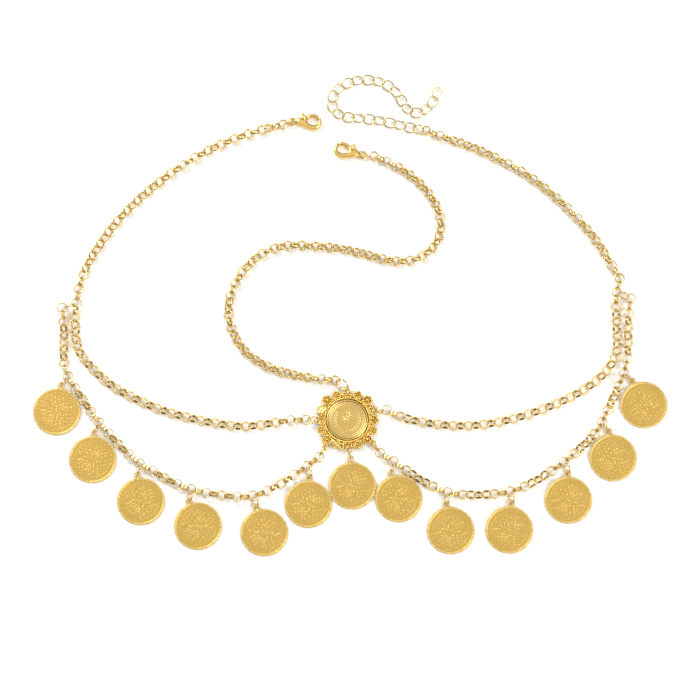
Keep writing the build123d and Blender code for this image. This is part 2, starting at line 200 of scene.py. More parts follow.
def plated(name, colour, shade, roughness, grain_size, grain_depth, mottle=0.0, has_painted_shade=False):
    """A plated metal; where a piece stores how low its surface lies, its low parts take painted shade in
    the shade colour.
    """
    material = bpy.data.materials.new(name)
    material.use_nodes = True
    nodes, links = material.node_tree.nodes, material.node_tree.links
    shader = nodes["Principled BSDF"]
    shader.inputs["Metallic"].default_value = 1.0
    finish = nodes.new("ShaderNodeGroup")
    finish.node_tree = PLATING_FINISH
    finish.inputs["Colour"].default_value = colour
    finish.inputs["Shade"].default_value = shade
    finish.inputs["Roughness"].default_value = roughness
    finish.inputs["Grain Size"].default_value = grain_size
    finish.inputs["Mottle"].default_value = mottle
    # Painted shade: the piece's stored 'low' attribute darkens its low parts towards the shade colour.
    if has_painted_shade:
        low = nodes.new("ShaderNodeAttribute")
        low.attribute_name = "low"
        links.new(low.outputs["Fac"], finish.inputs["Low"])
    bump = nodes.new("ShaderNodeBump")
    bump.inputs["Distance"].default_value = grain_depth
    links.new(finish.outputs["Grain"], bump.inputs["Height"])
    links.new(finish.outputs["Colour"], shader.inputs["Base Color"])
    links.new(finish.outputs["Roughness"], shader.inputs["Roughness"])
    links.new(bump.outputs["Normal"], shader.inputs["Normal"])
    return material


def finish_node(node, material):
    """A piece of the frame keeps its shape and takes the finished material."""
    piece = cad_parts[node]
    piece.data.materials.clear()
    piece.data.materials.append(material)


def wear(piece, node, body="headpiece"):
    """A new piece stands for the frame's node, moves with its body and keeps its finish."""
    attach(piece, body)
    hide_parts(node)


chain_plating = plated("chain_plating", PLATING, PLATING_SHADE, 0.2, 1500, 0.01 * MM)
for node in [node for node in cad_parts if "ring" in node]:
    finish_node(node, chain_plating)
for node in ("inner_chain_left", "inner_chain_right", "coin_chain_left", "coin_chain_right"):
    finish_node(node, chain_plating)


# The long chains that run on to the clasps and over the crown.
# The same belcher chain, sold by the metre: each round link of flat band passes through the
# next and is turned a quarter from it. The crown chain lies slack, so its links crowd together.
LINK_R = 2.1 * MM
LINK_WALL = 0.48 * MM
LINK_WIDTH = 1.35 * MM
LINK_EDGE = 0.13 * MM
LINK_SIDES = 16
LINK_PITCH = 3.0 * MM
SLACK_PITCH = 2.75 * MM
CHAIN_Z = 2.2
HELD_LINKS, ROLL_LINKS = 1, 3
SIDE_LEFT = [(-26.15, 123.4), (-37.9, 120.4), (-48.9, 116.1), (-59.0, 111.0), (-68.2, 105.1),
             (-77.5, 97.8), (-85.4, 90.6), (-93.4, 81.8), (-98.9, 73.8), (-103.8, 65.5),
             (-107.0, 57.8), (-107.65, 54.15)]
SIDE_RIGHT = [(31.85, 120.75), (41.9, 117.0), (52.6, 113.1), (62.7, 108.0), (72.4, 102.5),
              (82.4, 94.4), (91.7, 85.1), (99.9, 75.0), (105.3, 65.8), (108.3, 60.5), (109.3, 58.5)]
CROWN = [(10.8, 109.9), (20.2, 105.9), (28.3, 99.9), (34.7, 92.2), (38.4, 82.8), (36.5, 73.0),
         (29.1, 66.4), (19.0, 65.2), (8.6, 68.2), (-2.4, 71.0), (-13.6, 72.0), (-24.8, 72.6),
         (-34.8, 69.0), (-42.6, 61.0), (-47.4, 51.2), (-47.6, 40.2), (-42.6, 29.4), (-34.0, 22.6),
         (-23.6, 18.7), (-13.6, 16.9), (-4.9, 16.1)]


class Metalwork:
    """Shapes gathered into one mesh, in metres, before it becomes a piece."""

    def __init__(self):
        self.points = []
        self.faces = []
        self.painted_shade = []

    def add(self, points, faces, painted_shade=None):
        first = len(self.points)
        self.points += [tuple(point) for point in points]
        self.faces += [tuple(first + k for k in face) for face in faces]
        self.painted_shade += list(painted_shade) if painted_shade is not None else [0.0] * len(points)

    def grid(self, rows, closed_rows, closed_columns, painted_shade=None):
        """Quads over rows of equally many points."""
        count, width = len(rows), len(rows[0])
        faces = []
        for i in range(count if closed_rows else count - 1):
            for j in range(width if closed_columns else width - 1):
                a, b = i * width + j, i * width + (j + 1) % width
                c, d = ((i + 1) % count) * width + (j + 1) % width, ((i + 1) % count) * width + j
                faces.append((a, b, c, d))
        self.add([point for row in rows for point in row], faces, painted_shade)

    def wire(self, path, radius, sides=8, closed=False):
        """Round wire along a path of points; open ends are closed flat."""
        path = [Vector(point) for point in path]
        radii = radius if isinstance(radius, (list, tuple)) else [radius] * len(path)
        last = len(path) - 1
        rows = []
        side = None
        for k, point in enumerate(path):
            after = path[(k + 1) % len(path)] if closed or k < last else point
            before = path[k - 1] if closed or k > 0 else point
            along = (after - before).normalized()
            if side is None:
                side = along.orthogonal().normalized()
                if abs(along.z) < 0.9:
                    side = along.cross(Vector((0, 0, 1))).normalized()
            side = (side - along * side.dot(along)).normalized()
            up = along.cross(side)
            angles = [2 * math.pi * s / sides for s in range(sides)]
            rows.append([point + (side * math.cos(a) + up * math.sin(a)) * radii[k] for a in angles])
        first = len(self.points)
        self.grid(rows, closed, True)
        if not closed:
            self.faces.append(tuple(first + s for s in reversed(range(sides))))
            self.faces.append(tuple(first + last * sides + s for s in range(sides)))

    def make(self, name):
        mesh = bpy.data.meshes.new(name)
        mesh.from_pydata(self.points, [], self.faces)
        # The 'low' attribute holds how much painted shade each point takes.
        low = mesh.attributes.new("low", "FLOAT", "POINT")
        low.data.foreach_set("value", self.painted_shade)
        shell = bmesh.new()
        shell.from_mesh(mesh)
        bmesh.ops.recalc_face_normals(shell, faces=shell.faces)
        shell.to_mesh(mesh)
        shell.free()
        mesh.shade_smooth()
        return new_object(name, mesh)


def band_link():
    """One round link of flat band, lying flat."""
    work = Metalwork()
    half, inner, edge = LINK_WIDTH / 2, LINK_R - LINK_WALL, LINK_EDGE
    section = [(inner, -half + edge), (inner, half - edge), (inner + edge, half), (LINK_R - edge, half),
               (LINK_R, half - edge), (LINK_R, -half + edge), (LINK_R - edge, -half), (inner + edge, -half)]
    rows = []
    for s in range(LINK_SIDES):
        a = 2 * math.pi * s / LINK_SIDES
        rows.append([(r * math.cos(a), r * math.sin(a), z) for r, z in section])
    work.grid(rows, True, True)
    return work.make("band_link")


def chain_tree():
    """Sets links along a curve, each turned from the last. Away from its ends the chain also rolls
    slowly one way and the other, and no two links lie quite alike."""
    tree = bpy.data.node_groups.new("links_along_route", "GeometryNodeTree")
    face = tree.interface
    face.new_socket(name="Route", in_out="INPUT", socket_type="NodeSocketGeometry")
    for name, kind in (("Link", "NodeSocketObject"), ("Count", "NodeSocketInt"),
                       ("First Turn", "NodeSocketFloat"), ("Turn Step", "NodeSocketFloat"),
                       ("Roll", "NodeSocketFloat"), ("Drift", "NodeSocketFloat"),
                       ("Jitter", "NodeSocketFloat"), ("Seed", "NodeSocketInt"),
                       ("Metal", "NodeSocketMaterial")):
        face.new_socket(name=name, in_out="INPUT", socket_type=kind)
    face.new_socket(name="Chain", in_out="OUTPUT", socket_type="NodeSocketGeometry")
    nodes, links = tree.nodes, tree.links
    given = nodes.new("NodeGroupInput")
    result = nodes.new("NodeGroupOutput")
    points = nodes.new("GeometryNodeCurveToPoints")
    points.mode = "COUNT"
    align = nodes.new("FunctionNodeAlignRotationToVector")
    align.axis, align.pivot_axis = "X", "Z"
    roll = nodes.new("FunctionNodeAxisAngleToRotation")
    roll.inputs["Axis"].default_value = (1, 0, 0)
    turn = nodes.new("FunctionNodeRotateRotation")
    turn.rotation_space = "LOCAL"
    shape = nodes.new("GeometryNodeObjectInfo")
    place = nodes.new("GeometryNodeInstanceOnPoints")
    real = nodes.new("GeometryNodeRealizeInstances")
    metal = nodes.new("GeometryNodeSetMaterial")

    def math_node(operation, *sources):
        node = nodes.new("ShaderNodeMath")
        node.operation = operation
        for socket, source in zip(node.inputs, sources):
            if isinstance(source, (int, float)):
                socket.default_value = source
            else:
                links.new(source, socket)
        return node.outputs[0]

    index = nodes.new("GeometryNodeInputIndex").outputs[0]
    lean = math_node("MULTIPLY_ADD", math_node("MODULO", index, 2), given.outputs["Turn Step"],
                     given.outputs["First Turn"])
    wander = nodes.new("ShaderNodeTexNoise")
    wander.noise_dimensions = "1D"
    wander.inputs["Scale"].default_value = 1.0
    links.new(math_node("MULTIPLY_ADD", index, 0.11, given.outputs["Seed"]), wander.inputs["W"])
    drift = math_node("MULTIPLY", math_node("SUBTRACT", wander.outputs["Fac"], 0.5), given.outputs["Drift"])
    shake = nodes.new("FunctionNodeRandomValue")
    links.new(given.outputs["Seed"], shake.inputs["Seed"])
    jitter = math_node("MULTIPLY", math_node("SUBTRACT", shake.outputs[1], 0.5), given.outputs["Jitter"])
    from_end = math_node("SUBTRACT", math_node("SUBTRACT", given.outputs["Count"], 1), index)
    free = math_node("SUBTRACT", math_node("MINIMUM", index, from_end), HELD_LINKS)
    free = math_node("DIVIDE", free, ROLL_LINKS)
    free = math_node("MAXIMUM", math_node("MINIMUM", free, 1), 0)
    rolled = math_node("ADD", math_node("ADD", drift, jitter), given.outputs["Roll"])
    lean = math_node("MULTIPLY_ADD", rolled, free, lean)
    links.new(given.outputs["Route"], points.inputs["Curve"])
    links.new(given.outputs["Count"], points.inputs["Count"])
    links.new(points.outputs["Tangent"], align.inputs["Vector"])
    links.new(lean, roll.inputs["Angle"])
    links.new(align.outputs[0], turn.inputs["Rotation"])
    links.new(roll.outputs[0], turn.inputs["Rotate By"])
    links.new(given.outputs["Link"], shape.inputs["Object"])
    links.new(points.outputs["Points"], place.inputs["Points"])
    links.new(shape.outputs["Geometry"], place.inputs["Instance"])
    links.new(turn.outputs[0], place.inputs["Rotation"])
    links.new(place.outputs["Instances"], real.inputs["Geometry"])
    links.new(real.outputs["Geometry"], metal.inputs["Geometry"])
    links.new(given.outputs["Metal"], metal.inputs["Material"])
    links.new(metal.outputs["Geometry"], result.inputs["Chain"])
    return tree


CHAIN_TREE = chain_tree()


def route_curve(name, route, height):
    """The chain's centreline: one smooth curve with the route's points as control points."""
    curve = bpy.data.curves.new(name, "CURVE")
    curve.dimensions = "3D"
    spline = curve.splines.new("NURBS")
    spline.points.add(len(route) - 1)
    for point, (x, y) in zip(spline.points, route):
        point.co = (x * MM, y * MM, height * MM, 1)
    spline.order_u = 3
    spline.use_endpoint_u = True
    spline.resolution_u = 24
    return new_object(name, curve)


def curve_length(curve):
    line = bpy.data.meshes.new_from_object(curve.evaluated_get(bpy.context.evaluated_depsgraph_get()))
    points = [vertex.co for vertex in line.vertices]
    length = sum((b - a).length for a, b in zip(points, points[1:]))
    bpy.data.meshes.remove(line)
    return length


def string_links(name, curve, values):
    """Puts the links along the curve and turns the result into one plain mesh."""
    setter = curve.modifiers.new("links", "NODES")
    setter.node_group = CHAIN_TREE
    for socket in CHAIN_TREE.interface.items_tree:
        if socket.in_out == "INPUT" and socket.name in values:
            setter[socket.identifier] = values[socket.name]
    bpy.context.view_layer.update()
    graph = bpy.context.evaluated_depsgraph_get()
    mesh = bpy.data.meshes.new_from_object(curve.evaluated_get(graph), depsgraph=graph)
    mesh.name = name
    bpy.data.objects.remove(curve)
    return new_object(name, mesh)


def even_count(route, height, pitch):
    """Number of links that makes whole quarter turns from a flat first to a flat last one."""
    curve = route_curve("measure", route, height)
    bpy.context.view_layer.update()
    steps = 2 * round(curve_length(curve) / pitch / 2)
    bpy.data.objects.remove(curve)
    return steps + 1


link = band_link()
for seed, (node, route, pitch) in enumerate((("side_chain_left", SIDE_LEFT, LINK_PITCH),
                                             ("side_chain_right", SIDE_RIGHT, LINK_PITCH),
                                             ("crown_chain", CROWN, SLACK_PITCH))):
    values = {"Link": link, "Count": even_count(route, CHAIN_Z, pitch), "First Turn": 0.0,
              "Turn Step": math.pi / 2, "Roll": math.pi / 4, "Drift": 2.4, "Jitter": 0.3,
              "Seed": seed, "Metal": chain_plating}
    wear(string_links(node + "_links", route_curve(node, route, CHAIN_Z), values), node)
bpy.data.objects.remove(link)


# The extender chain.
# A finer chain of oval links of round wire, soldered shut, that the clasp hooks into at the
# length that suits the head. It lies in a loop, its links leaning one way and the other.
OVAL_LENGTH = 5.4 * MM
OVAL_WIDTH = 4.5 * MM
OVAL_WIRE_R = 0.31 * MM
OVAL_LEAN = math.radians(14)
EXTENDER_Z = 1.35
EXTENDER_PITCH = 4.3 * MM
EXTENDER = [(36.4, 137.3), (35.0, 133.4), (32.2, 130.0), (28.0, 128.2), (23.8, 130.4), (21.9, 134.4),
            (19.4, 138.2), (15.9, 141.0), (11.5, 142.5), (7.2, 142.9), (3.0, 142.4), (-1.2, 140.9),
            (-5.0, 137.9), (-6.6, 133.8), (-5.6, 129.6), (-2.2, 127.2), (2.2, 126.5), (6.7, 126.2),
            (10.9, 125.7), (15.4, 124.9), (20.2, 123.7), (25.5, 122.35)]


def oval_link():
    """One oval wire link lying flat, a little squarer than an ellipse."""
    work = Metalwork()
    sides = 20
    path = []
    for k in range(sides):
        a = 2 * math.pi * k / sides
        square = 1 + 0.06 * math.sin(2 * a) ** 2
        path.append(((OVAL_LENGTH / 2 - OVAL_WIRE_R) * math.cos(a) * square,
                     (OVAL_WIDTH / 2 - OVAL_WIRE_R) * math.sin(a) * square, 0))
    work.wire(path, OVAL_WIRE_R, 8, closed=True)
    return work.make("oval_link")


extender_plating = plated("extender_plating", (0.66, 0.53, 0.25, 1), (0.50, 0.37, 0.13, 1), 0.26, 1500,
                          0.01 * MM)
link = oval_link()
values = {"Link": link, "Count": even_count(EXTENDER, EXTENDER_Z, EXTENDER_PITCH),
          "First Turn": OVAL_LEAN, "Turn Step": -2 * OVAL_LEAN, "Roll": 0.0, "Drift": 0.1, "Jitter": 0.08,
          "Seed": 7, "Metal": extender_plating}
extender = string_links("extender_links", route_curve("extender", EXTENDER, EXTENDER_Z), values)
wear(extender, "extender_chain")
bpy.data.objects.remove(link)


# The thirteen coins.
# Struck brass discs with a plain rim and an ear for the jump ring, plated a warmer matte gold.
# The face is a generic folk ornament: pellets, rings of small leaves and a faint rosette, on a
# sandy field, with painted shade darkening it wherever it lies low.
COIN_R = 9.4
COIN_THICK = 0.7
RELIEF = 0.1
COIN_EDGE = 0.08
EAR_REACH = 10.8
EAR_R = 1.35
HOLE_R = 0.85
EAR_LIFT = 1.05
CENTRE_COIN_LIFT = 1.45
COIN_GOLD = (0.79, 0.60, 0.23, 1)
COIN_SHADE = (0.58, 0.38, 0.10, 1)
COIN_HEADINGS = {"coin_01": -98, "coin_02": -92, "coin_03": -82, "coin_04": -70, "coin_05": -72,
                 "coin_06": -92, "coin_07": -86.5, "coin_08": -74, "coin_09": -80, "coin_10": -95,
                 "coin_11": -89, "coin_12": -82, "coin_13": -65}


def soft_step(value, low, high):
    t = np.clip((value - low) / (high - low), 0, 1)
    return t * t * (3 - 2 * t)


def mound(x, y, place, half_length, half_width, angle):
    """Height of one leaf, petal or pellet on the face: 1 along its middle, 0 outside."""
    c, s = math.cos(angle), math.sin(angle)
    dx, dy = x - place[0], y - place[1]
    along, across = (dx * c + dy * s) / half_length, (dy * c - dx * s) / half_width
    return 1 - soft_step(np.hypot(along, across), 0.55, 1.1)


def around(radius, angle):
    return (radius * math.cos(angle), radius * math.sin(angle))


def outline(x, y, place, half_length, half_width, angle, width=0.24):
    """Height of a raised line round a leaf or petal."""
    c, s = math.cos(angle), math.sin(angle)
    dx, dy = x - place[0], y - place[1]
    reach = np.hypot((dx * c + dy * s) / half_length, (dy * c - dx * s) / half_width)
    return soft_step(width - np.abs(reach - 1), 0, width)


STROKE_RINGS = ((0.24, 8), (0.34, 12), (0.44, 15), (0.54, 19), (0.64, 23))


def rosette_face(x, y):
    """Generic ornament of the coins, on a face of radius 1: rings of short leaves that turn one way
    and the other, with pellets between them, round eight faint petals."""
    r = np.hypot(x, y)
    height = np.maximum(soft_step(r, 0.905, 0.93), 0.6 * soft_step(-np.abs(r - 0.755), -0.014, -0.004))
    shapes = [((0, 0), 0.06, 0.06, 0, 0.8)]
    for k in range(28):
        a = 2 * math.pi * k / 28
        shapes.append((around(0.82, a), 0.034, 0.034, a, 0.55))
    for k in range(8):
        a = 2 * math.pi * (k + 0.5) / 8
        height = np.maximum(height, 0.5 * outline(x, y, around(0.40, a), 0.19, 0.075, a))
        shapes.append((around(0.14, a), 0.035, 0.016, a + (0.8 if k % 2 else -0.8), 0.8))
    for ring, count in STROKE_RINGS:
        for k in range(count):
            a = 2 * math.pi * (k + ring) / count
            shapes.append((around(ring, a), 0.048, 0.018, a + (0.8 if k % 2 else -0.8), 0.95))
            shapes.append((around(ring + 0.05, a + math.pi / count), 0.015, 0.015, 0, 0.8))
    for place, half_length, half_width, angle, top in shapes:
        height = np.maximum(height, top * mound(x, y, place, half_length, half_width, angle))
    return np.clip(height, 0, 1)


def struck_disc(work, radius, thick, relief, face, rings, sectors):
    """Round disc with a relief on its upper face and a rounded, plain edge."""
    steps = np.linspace(0, 1, rings + 1)[1:] * (1 - 0.012)
    angles = np.linspace(0, 2 * math.pi, sectors, endpoint=False)
    rr, aa = np.meshgrid(steps, angles, indexing="ij")
    height = face(rr * np.cos(aa), rr * np.sin(aa))
    middle = float(face(np.zeros(1), np.zeros(1))[0])
    rows = [[(0, 0, thick + relief * middle)] * sectors]
    # Painted shade: the lower the relief lies, the darker the point is painted.
    painted_shade = [1 - middle] * sectors
    for i in range(rings):
        rows.append([(radius * rr[i, j] * math.cos(angles[j]), radius * rr[i, j] * math.sin(angles[j]),
                      thick + relief * height[i, j]) for j in range(sectors)])
        painted_shade += [float(1 - height[i, j]) for j in range(sectors)]
    edge = COIN_EDGE
    for r, z in ((radius, thick + relief - edge), (radius, edge), (radius - edge, 0.0), (0.0, 0.0)):
        rows.append([(r * math.cos(a), r * math.sin(a), z) for a in angles])
        painted_shade += [0.0] * sectors
    work.grid(rows, False, True, painted_shade)


def coin_ear(work):
    """The ear: a flat tongue from the rim with a round hole for the jump ring."""
    sides = 28
    inner, outer = [], []
    for k in range(sides):
        a = 2 * math.pi * k / sides
        inner.append((HOLE_R * math.cos(a), EAR_REACH + HOLE_R * math.sin(a)))
        x, y = EAR_R * math.cos(a), EAR_REACH + EAR_R * math.sin(a)
        if math.sin(a) < -0.05:
            y = COIN_R - 0.6 if abs(math.cos(a)) < 0.8 else EAR_REACH - EAR_R
            x = math.copysign(EAR_R, math.cos(a)) * min(1, abs(math.cos(a)) / 0.75)
        outer.append((x, y))
    bevel = 0.1
    rows = []
    for ring, grow, z in ((inner, 1, bevel), (inner, 1, COIN_THICK - bevel), (inner, 1 + bevel, COIN_THICK),
                          (outer, 1 - bevel / 2, COIN_THICK), (outer, 1, COIN_THICK - bevel),
                          (outer, 1, bevel), (outer, 1 - bevel / 2, 0), (inner, 1 + bevel, 0)):
        rows.append([(x * grow, EAR_REACH + (y - EAR_REACH) * grow, z) for x, y in ring])
    work.grid(rows, True, True)


def coin_mesh():
    work = Metalwork()
    struck_disc(work, COIN_R, COIN_THICK, RELIEF, rosette_face, 72, 224)
    coin_ear(work)
    return work


def seat(work, shift, heading, tilt):
    """The same shape laid at its place, in metres, as its own mesh."""
    place = (Matrix.Translation(shift) @ Matrix.Rotation(math.radians(heading + 90), 4, "Z")
             @ Matrix.Rotation(tilt, 4, "X"))
    laid = Metalwork()
    laid.add([(place @ Vector(point)) * MM for point in work.points], work.faces, work.painted_shade)
    return laid


# The coins' low relief is darkened with painted shade.
coin_gold = plated("coin_gold", COIN_GOLD, COIN_SHADE, 0.44, 1250, 0.09 * MM, 1.0, has_painted_shade=True)
blank = coin_mesh()
for node, heading in COIN_HEADINGS.items():
    low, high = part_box(node)
    tilt = math.asin((CENTRE_COIN_LIFT if node == "coin_07" else EAR_LIFT) / (COIN_R + EAR_REACH))
    middle = Vector(((low.x + high.x) / 2 / MM, low.y / MM + COIN_R * math.cos(tilt),
                     COIN_R * math.sin(tilt)))
    coin = seat(blank, middle, heading, tilt).make(node + "_struck")
    coin.data.materials.append(coin_gold)
    wear(coin, node)


# The coin in the medallion.
# Thinner and paler than the others, held in a cup with a turned-over lip. Two fine lines run
# round it, and its field carries a small rosette over two sprays of leaves.
CENTRE_COIN_R = 7.5
CENTRE_COIN_THICK = 1.2
CENTRE_COIN_Z = 0.85


def spray_face(x, y):
    """Generic ornament of the medallion's coin, on a face of radius 1."""
    r = np.hypot(x, y)
    height = np.maximum(soft_step(r, 0.94, 0.96), 0.8 * soft_step(-np.abs(r - 0.86), -0.02, -0.006))
    shapes = [((0, 0.20), 0.07, 0.07, 0, 1.0), ((0, -0.62), 0.05, 0.05, 0, 0.9)]
    for k in range(10):
        a = 2 * math.pi * (k + 0.5) / 10
        x0, y0 = around(0.19, a)
        shapes.append(((x0, y0 + 0.20), 0.085, 0.034, a, 0.9))
        x0, y0 = around(0.33, a + 0.31)
        shapes.append(((x0, y0 + 0.20), 0.03, 0.022, a, 0.7))
    for side in (1, -1):
        for k in range(9):
            a = -math.pi / 2 + side * (0.28 + 0.24 * k)
            lean = a + side * math.pi / 2
            shapes.append((around(0.70, a), 0.075, 0.028, lean - side * 0.5, 0.85))
            shapes.append((around(0.60, a + side * 0.05), 0.065, 0.026, lean + side * 0.5, 0.85))
            shapes.append((around(0.52, a), 0.016, 0.016, a, 0.6))
    for place, half_length, half_width, angle, top in shapes:
        height = np.maximum(height, top * mound(x, y, place, half_length, half_width, angle))
    return np.clip(height, 0, 1)


# This coin's low relief is darkened with painted shade too.
pale_gold = plated("pale_gold", (0.79, 0.62, 0.31, 1), (0.60, 0.41, 0.13, 1), 0.44, 1400, 0.06 * MM, 0.6,
                   has_painted_shade=True)
work = Metalwork()
struck_disc(work, CENTRE_COIN_R, CENTRE_COIN_THICK, 0.12, spray_face, 56, 180)
coin = seat(work, Vector((0, 0, CENTRE_COIN_Z)), -90, 0).make("medallion_coin_struck")
coin.data.materials.append(pale_gold)
wear(coin, "medallion_coin")


# The medallion's frame.
# Cast in one piece to look like filigree: a cup for the coin with a rope round it, and eight
# lobes of twisted wire set with balls, with smaller ones between them. Plain eyelets take the
# jump rings, and two smooth leaves lie over its left side.
BEZEL_R, BEZEL_WALL, BEZEL_HEIGHT, BEZEL_FLOOR = 8.3, 0.65, 2.4, 0.7
LACE_Z, LACE_THICK = 1.35, 0.8
LACE_TOP = LACE_Z + LACE_THICK
ROPE_R = 8.95
LOBES = 8
LOBE_R = 2.0
LOBE_REACH_AXIS, LOBE_REACH_DIAGONAL = 12.4, 13.3
# The back plate and the discs under the lobes and spandrels are darkened with painted shade.
LOBE_DISC_R, DISC_THICK, DISC_PAINTED_SHADE = 1.75, 0.3, 0.8
PLATE_R = 10.45
SPANDREL_REACH, SPANDREL_R = 10.9, 1.5
BALL_R, SMALL_BALL_R = 0.5, 0.33
LOBE_BALLS_R, GAP_BALLS_R = 0.95, 0.8
EYELET_R, EYELET_HOLE_R = 1.5, 0.92
EYELETS = [(-0.5, 12.3), (-11.9, -0.1), (11.2, 3.2), (-8.7, -10.9), (10.05, -9.55), (0.9, -11.8)]
LEAVES, LEAF_REACH, LEAF_TURN = [158, 247], 10.8, math.radians(65)
LEAF_RX, LEAF_RY, LEAF_RISE = 2.75, 1.15, 0.55


def lathe(work, profile, sectors, low=0.0, centre=(0, 0)):
    """A closed profile of (radius, height) turned round an upright axis; low is how much painted shade it
    takes.
    """
    rows = [[(centre[0] + r * math.cos(2 * math.pi * s / sectors),
              centre[1] + r * math.sin(2 * math.pi * s / sectors), z) for s in range(sectors)]
            for r, z in profile]
    work.grid(rows, True, True, [low] * (len(profile) * sectors))


def clear_of_eyelets(x, y, room):
    return min(math.hypot(x - a, y - b) for a, b in EYELETS) > room


def twisted_arc(work, centre, radius, height, start, end, strand, pitch, room=0.0):
    """Two strands wound round each other along an arc; it stops where an eyelet is in its way."""
    turns = radius * abs(end - start) / pitch
    count = int(turns * 9) + 2
    closed = abs(abs(end - start) - 2 * math.pi) < 1e-6
    if closed:
        turns = round(turns)
    for strand_phase in (0, math.pi):
        run = []
        for k in range(count):
            t = k / count if closed else k / (count - 1)
            a = start + (end - start) * t
            twist = 2 * math.pi * turns * t + strand_phase
            r = radius + strand * 0.85 * math.cos(twist)
            x, y = centre[0] + r * math.cos(a), centre[1] + r * math.sin(a)
            if room and not clear_of_eyelets(x, y, room):
                if len(run) > 2:
                    work.wire(run, strand, 6)
                run = []
                continue
            run.append((x, y, height + strand * 0.85 * math.sin(twist)))
        if len(run) > 2:
            work.wire(run, strand, 6, closed=closed and len(run) == count)


def ball_tree():
    """Sets a round ball on every point."""
    tree = bpy.data.node_groups.new("balls_on_points", "GeometryNodeTree")
    face = tree.interface
    face.new_socket(name="Places", in_out="INPUT", socket_type="NodeSocketGeometry")
    face.new_socket(name="Radius", in_out="INPUT", socket_type="NodeSocketFloat")
    face.new_socket(name="Metal", in_out="INPUT", socket_type="NodeSocketMaterial")
    face.new_socket(name="Balls", in_out="OUTPUT", socket_type="NodeSocketGeometry")
    nodes, links = tree.nodes, tree.links
    given = nodes.new("NodeGroupInput")
    result = nodes.new("NodeGroupOutput")
    ball = nodes.new("GeometryNodeMeshIcoSphere")
    ball.inputs["Subdivisions"].default_value = 2
    place = nodes.new("GeometryNodeInstanceOnPoints")
    real = nodes.new("GeometryNodeRealizeInstances")
    metal = nodes.new("GeometryNodeSetMaterial")
    links.new(given.outputs["Radius"], ball.inputs["Radius"])
    links.new(given.outputs["Places"], place.inputs["Points"])
    links.new(ball.outputs["Mesh"], place.inputs["Instance"])
    links.new(place.outputs["Instances"], real.inputs["Geometry"])
    links.new(real.outputs["Geometry"], metal.inputs["Geometry"])
    links.new(given.outputs["Metal"], metal.inputs["Material"])
    links.new(metal.outputs["Geometry"], result.inputs["Balls"])
    return tree


BALL_TREE = ball_tree()


def balls(work, places, radius, metal):
    """Balls at these places, made by the tree and gathered into the piece."""
    mesh = bpy.data.meshes.new("ball_places")
    mesh.from_pydata(places, [], [])
    holder = new_object("ball_places", mesh)
    setter = holder.modifiers.new("balls", "NODES")
    setter.node_group = BALL_TREE
    values = {"Radius": radius, "Metal": metal}
    for socket in BALL_TREE.interface.items_tree:
        if socket.in_out == "INPUT" and socket.name in values:
            setter[socket.identifier] = values[socket.name]
    bpy.context.view_layer.update()
    graph = bpy.context.evaluated_depsgraph_get()
    made = bpy.data.meshes.new_from_object(holder.evaluated_get(graph), depsgraph=graph)
    work.add([tuple(v.co) for v in made.vertices], [tuple(p.vertices) for p in made.polygons])
    bpy.data.objects.remove(holder)
    bpy.data.meshes.remove(made)


def leaf(work, angle):
    """A smooth domed leaf with a pointed tip, lying across the lace."""
    turn = angle + LEAF_TURN
    cx, cy = around(LEAF_REACH, angle)
    c, s = math.cos(turn), math.sin(turn)
    sides, rings = 28, 6
    rows = []
    for i in range(rings + 1):
        grow = math.sin(math.pi / 2 * i / rings)
        rise = LEAF_RISE * math.cos(math.pi / 2 * i / rings)
        row = []
        for k in range(sides):
            a = 2 * math.pi * k / sides
            x = LEAF_RX * math.cos(a) * grow
            y = LEAF_RY * math.sin(a) * grow * (1 - 0.25 * math.cos(a) ** 2)
            row.append((cx + x * c - y * s, cy + x * s + y * c, LACE_TOP + 0.05 + rise))
        rows.append(row)
    rows.append([(x, y, LACE_Z) for x, y, _ in rows[-1]])
    rows.append([(cx, cy, LACE_Z)] * sides)
    work.grid(rows, False, True)


filigree_gold = plated("filigree_gold", (0.90, 0.69, 0.24, 1), (0.60, 0.34, 0.05, 1), 0.24, 1500,
                       0.03 * MM, 0.2, has_painted_shade=True)
work = Metalwork()
inside = BEZEL_R - BEZEL_WALL
lathe(work, [(0.01, 0), (BEZEL_R, 0), (BEZEL_R, BEZEL_HEIGHT - 0.3), (BEZEL_R - 0.1, BEZEL_HEIGHT - 0.08),
             (BEZEL_R - 0.33, BEZEL_HEIGHT), (inside + 0.1, BEZEL_HEIGHT - 0.08),
             (inside, BEZEL_HEIGHT - 0.3), (inside, BEZEL_FLOOR), (0.01, BEZEL_FLOOR)], 96)
# Back plate under the lace, darkened with painted shade.
lathe(work, [(BEZEL_R - 0.1, LACE_Z), (PLATE_R, LACE_Z), (PLATE_R + 0.05, LACE_Z + DISC_THICK / 2),
             (PLATE_R, LACE_Z + DISC_THICK), (BEZEL_R - 0.1, LACE_Z + DISC_THICK)], 96, low=DISC_PAINTED_SHADE)
twisted_arc(work, (0, 0), ROPE_R, LACE_TOP, 0, 2 * math.pi, 0.27, 1.5)
ball_places, small_places = [], []
